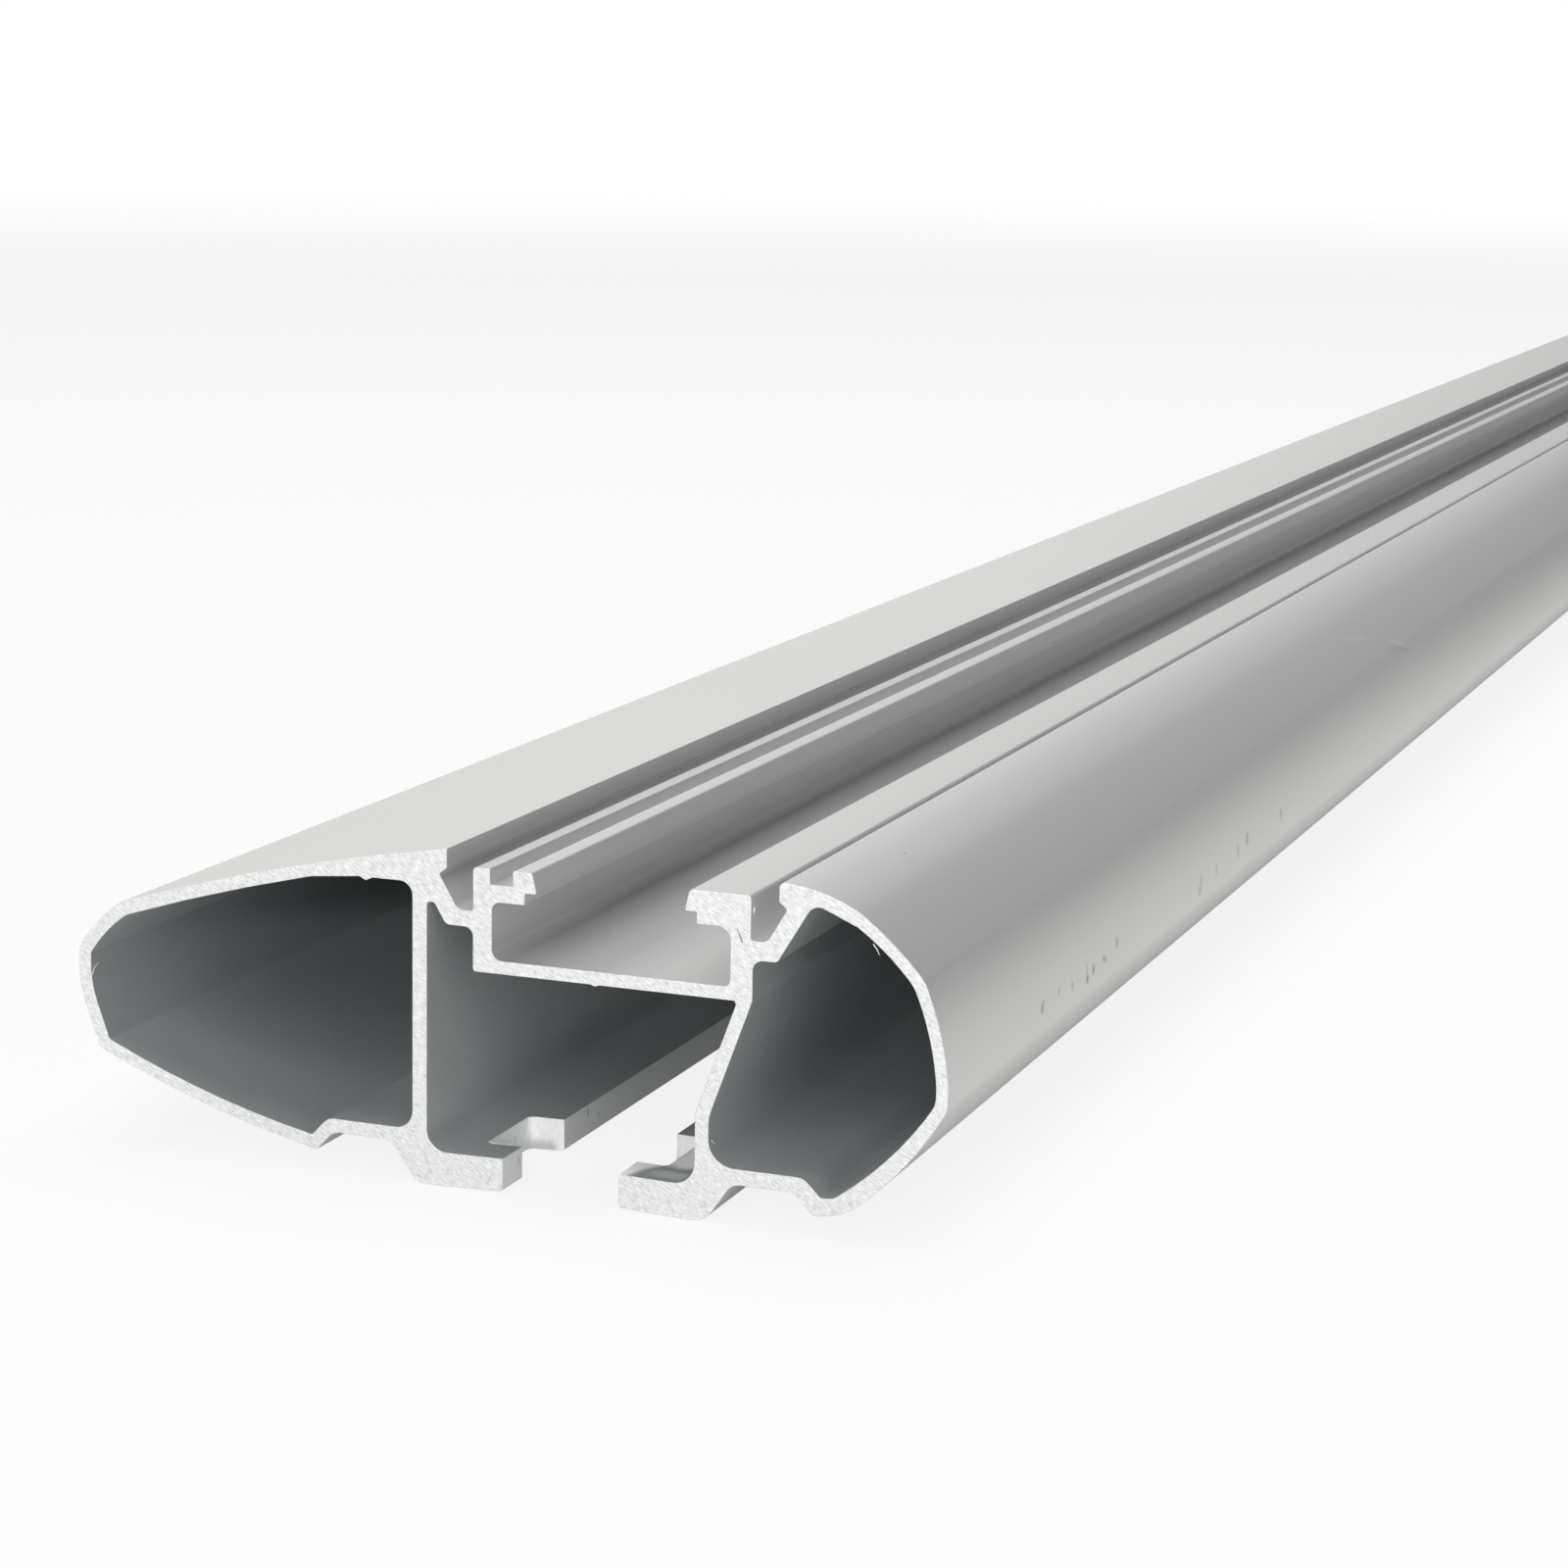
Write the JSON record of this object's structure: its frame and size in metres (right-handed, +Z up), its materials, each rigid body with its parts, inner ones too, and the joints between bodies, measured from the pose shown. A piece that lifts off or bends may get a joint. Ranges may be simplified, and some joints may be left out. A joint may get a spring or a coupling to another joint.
{
  "type": "roof rack crossbar",
  "caption": "Straight wing-section aluminium crossbar with closed chambers, a top accessory slot between undercut strip grooves, a foot channel underneath and notched flanges.",
  "frame": {"origin": "middle of the bar's bounding box at the height of the two foot flanges' contact lines", "axes": "+X across the bar from the pointed nose towards the rounded tail, +Y along the bar from the near cut end to the far one, +Z up towards the accessory slot"},
  "size_m": [0.08, 1.18, 0.0294],
  "materials": {
    "anodised_aluminium": "natural anodised satin skin; saw-cut ends and milled notches in bare bright metal"
  },
  "bodies": {
    "root": {"crossbar_profile": "anodised_aluminium"}
  },
  "joints": []
}
